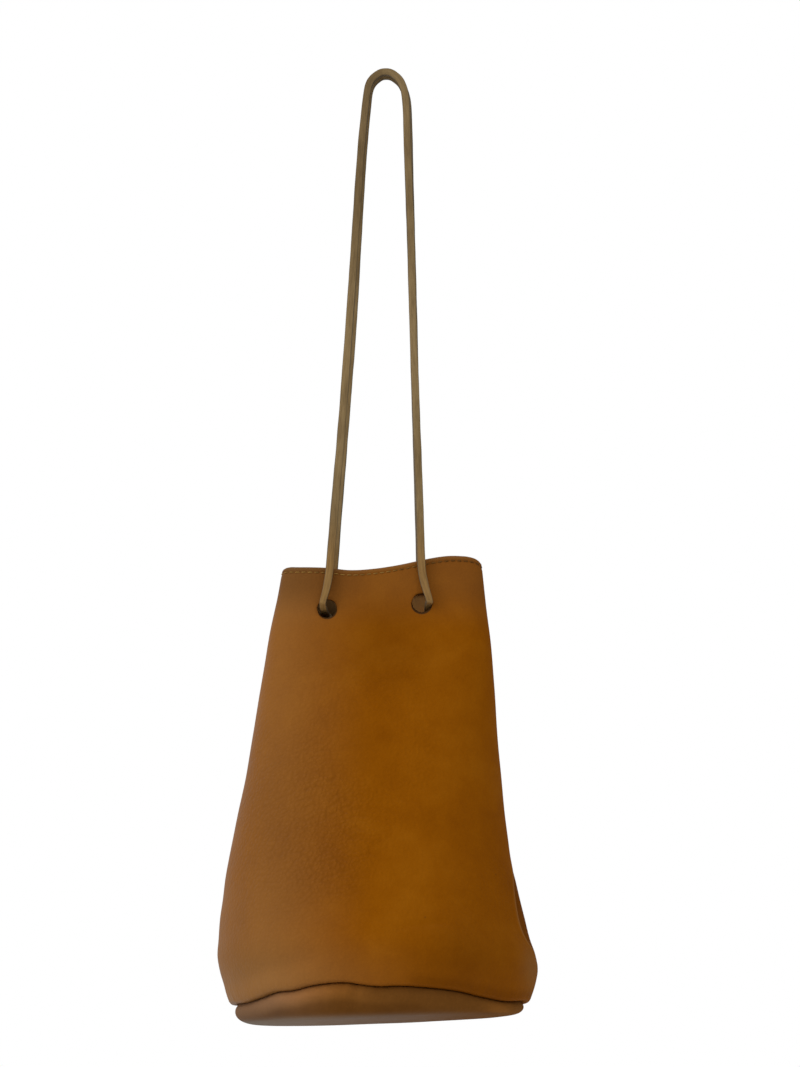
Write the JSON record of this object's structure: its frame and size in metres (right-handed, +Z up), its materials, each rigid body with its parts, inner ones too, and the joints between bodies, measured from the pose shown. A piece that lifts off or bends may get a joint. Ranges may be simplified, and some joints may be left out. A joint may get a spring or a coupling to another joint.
{
  "type": "bucket bag",
  "caption": "Round-based leather bucket bag with a flattened mouth and a long leather lace threaded through punched holes as front and back carrying loops.",
  "frame": {"origin": "the hang point, on the underside of the two lace loops where a hook holds them", "axes": "+Z up, front of the bag faces -Y, +X to the bag's right as seen from the front"},
  "size_m": [0.2274, 0.223, 0.7492],
  "materials": {
    "body_leather": "soft caramel leather, fine pebbled grain, low sheen",
    "base_leather": "soft caramel leather, slightly greyer where it faces down",
    "lace_leather": "olive tan cut lace with raw sides, matt",
    "sewing_thread": "waxed tan thread"
  },
  "bodies": {
    "bag_back": {"back_panel": "body_leather", "base_panel": "base_leather", "base_seam_thread": "sewing_thread", "rim_thread_back": "sewing_thread", "lace_crossing_right": "lace_leather", "lace_crossing_left_front": "lace_leather", "lace_crossing_left_back": "lace_leather", "lace_knot": "lace_leather", "lace_end_front": "lace_leather", "lace_end_back": "lace_leather"},
    "bag_front": {"front_panel": "body_leather", "rim_thread_front": "sewing_thread", "side_seam_thread_left": "sewing_thread", "side_seam_thread_right": "sewing_thread"},
    "front_loop": {"front_strap": "lace_leather"},
    "back_loop": {"back_strap": "lace_leather"}
  },
  "joints": [
    {"name": "mouth_open", "type": "hinge", "parent": "bag_back", "child": "bag_front", "pos_m": [-0.003, -0.1045, -0.7328], "axis": [1, 0, 0], "range_deg": [0, 6]},
    {"name": "front_loop_swing", "type": "hinge", "parent": "bag_front", "child": "front_loop", "pos_m": [-0.003, -0.028, -0.4463], "axis": [1, 0, 0], "range_deg": [0, 160]},
    {"name": "back_loop_swing", "type": "hinge", "parent": "bag_back", "child": "back_loop", "pos_m": [-0.003, 0.028, -0.4463], "axis": [-1, 0, 0], "range_deg": [0, 160]}
  ]
}
